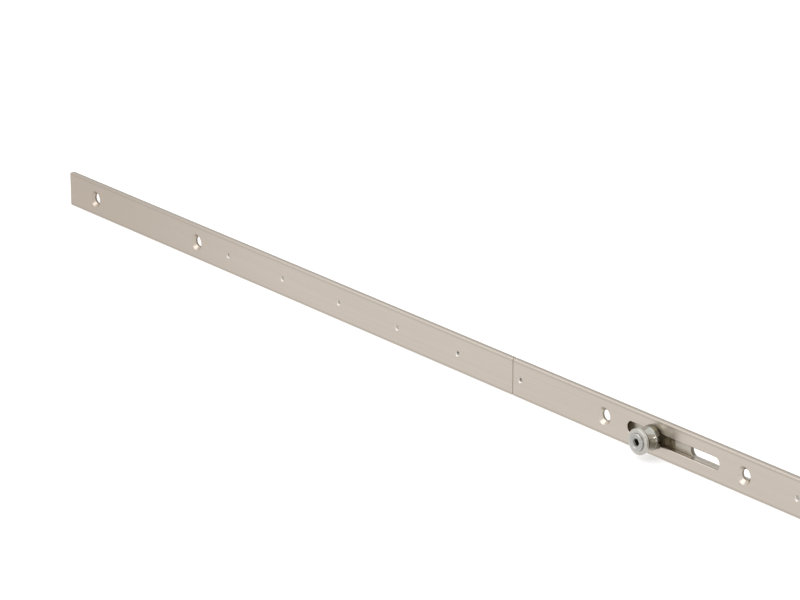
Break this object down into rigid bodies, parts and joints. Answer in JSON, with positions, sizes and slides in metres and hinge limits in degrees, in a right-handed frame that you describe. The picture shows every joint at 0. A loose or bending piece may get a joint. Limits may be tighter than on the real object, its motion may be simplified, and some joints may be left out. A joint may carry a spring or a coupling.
{
  "type": "multipoint door lock",
  "caption": "Long slim faceplate with roller locking points, a flat drive rail, a lever-lift gear case with sprung latch and deadbolt, and an extension piece.",
  "frame": {"origin": "on the faceplate's front face, on its centre line, level with the spindle", "axes": "+X along the faceplate from the top end (extension) to the bottom end, +Y into the door, +Z across the faceplate"},
  "size_m": [2.17, 0.074, 0.02],
  "materials": {
    "plate_satin": "satin nickel-plated steel, brushed along its length",
    "rail_zinc": "bright zinc-plated steel strip",
    "roller_steel": "turned and nickel-plated steel",
    "pin_steel": "turned steel, satin",
    "case_galvanised": "galvanised sheet steel",
    "bolt_nickel": "satin nickel-plated steel",
    "follower_sintered": "sintered steel",
    "guide_zinc": "die-cast, matt",
    "bush_plastic": "moulded",
    "spring_steel": "spring steel, oiled",
    "screw_zinc": "bright zinc-plated"
  },
  "bodies": {
    "lock_frame": {"faceplate_main": "plate_satin", "faceplate_extension": "plate_satin", "splice_plate": "rail_zinc", "splice_rivets": "pin_steel", "rail_guides": "guide_zinc", "follower_bushes": "bush_plastic", "case_body": "case_galvanised", "case_cover": "case_galvanised", "case_posts": "pin_steel", "cover_screws": "screw_zinc", "case_front_screws": "screw_zinc", "latch_spring": "spring_steel", "deadbolt_brake_spring": "spring_steel"},
    "drive_train": {"drive_rail_upper": "rail_zinc", "drive_rail_lower": "rail_zinc", "drive_slider": "rail_zinc", "roller_front_washers": "roller_steel", "roller_back_washers": "rail_zinc"},
    "drive_hub": {"drive_follower": "follower_sintered"},
    "latch_hub": {"latch_follower": "follower_sintered"},
    "latch": {"latch_bolt": "bolt_nickel"},
    "bolt": {"deadbolt": "bolt_nickel"},
    "pin_1": {"roller_pin_1": "pin_steel"},
    "roller_1": {"roller_sleeve_1": "roller_steel"},
    "pin_2": {"roller_pin_2": "pin_steel"},
    "roller_2": {"roller_sleeve_2": "roller_steel"},
    "pin_3": {"roller_pin_3": "pin_steel"},
    "roller_3": {"roller_sleeve_3": "roller_steel"},
    "pin_4": {"roller_pin_4": "pin_steel"},
    "roller_4": {"roller_sleeve_4": "roller_steel"}
  },
  "joints": [
    {"name": "drive_travel", "type": "slide", "parent": "lock_frame", "child": "drive_train", "axis": [1, 0, 0], "range_m": [-0.012, 0.036]},
    {"name": "drive_follower_turn", "type": "hinge", "parent": "lock_frame", "child": "drive_hub", "pos_m": [0, 0.045, 0], "axis": [0, 0, 1], "range_deg": [-24.6, 73.7]},
    {"name": "latch_travel", "type": "slide", "parent": "lock_frame", "child": "latch", "axis": [0, 1, 0], "range_m": [0, 0.012], "stiffness_N_per_m": 250, "springref_m": -0.012, "deforming": ["latch_spring"]},
    {"name": "latch_follower_turn", "type": "hinge", "parent": "lock_frame", "child": "latch_hub", "pos_m": [0, 0.045, 0], "axis": [0, 0, 1], "range_deg": [-24.6, 0]},
    {"name": "deadbolt_throw", "type": "slide", "parent": "lock_frame", "child": "bolt", "axis": [0, -1, 0], "range_m": [0, 0.02]},
    {"name": "pin_adjust_1", "type": "hinge", "parent": "drive_train", "child": "pin_1", "pos_m": [-0.6448, 0, 0], "axis": [0, -1, 0], "range_deg": [-90, 90]},
    {"name": "roller_spin_1", "type": "hinge", "parent": "pin_1", "child": "roller_1", "pos_m": [-0.644, 0, 0], "axis": [0, -1, 0], "continuous": true},
    {"name": "pin_adjust_2", "type": "hinge", "parent": "drive_train", "child": "pin_2", "pos_m": [-0.3148, 0, 0], "axis": [0, -1, 0], "range_deg": [-90, 90]},
    {"name": "roller_spin_2", "type": "hinge", "parent": "pin_2", "child": "roller_2", "pos_m": [-0.314, 0, 0], "axis": [0, -1, 0], "continuous": true},
    {"name": "pin_adjust_3", "type": "hinge", "parent": "drive_train", "child": "pin_3", "pos_m": [0.3752, 0, 0], "axis": [0, -1, 0], "range_deg": [-90, 90]},
    {"name": "roller_spin_3", "type": "hinge", "parent": "pin_3", "child": "roller_3", "pos_m": [0.376, 0, 0], "axis": [0, -1, 0], "continuous": true},
    {"name": "pin_adjust_4", "type": "hinge", "parent": "drive_train", "child": "pin_4", "pos_m": [0.7152, 0, 0], "axis": [0, -1, 0], "range_deg": [-90, 90]},
    {"name": "roller_spin_4", "type": "hinge", "parent": "pin_4", "child": "roller_4", "pos_m": [0.716, 0, 0], "axis": [0, -1, 0], "continuous": true}
  ],
  "couplings": [
    {"joint": "drive_follower_turn", "follows": "drive_travel", "rad_per_m": 35.714},
    {"joint": "latch_follower_turn", "follows": "latch_travel", "rad_per_m": -35.714}
  ]
}
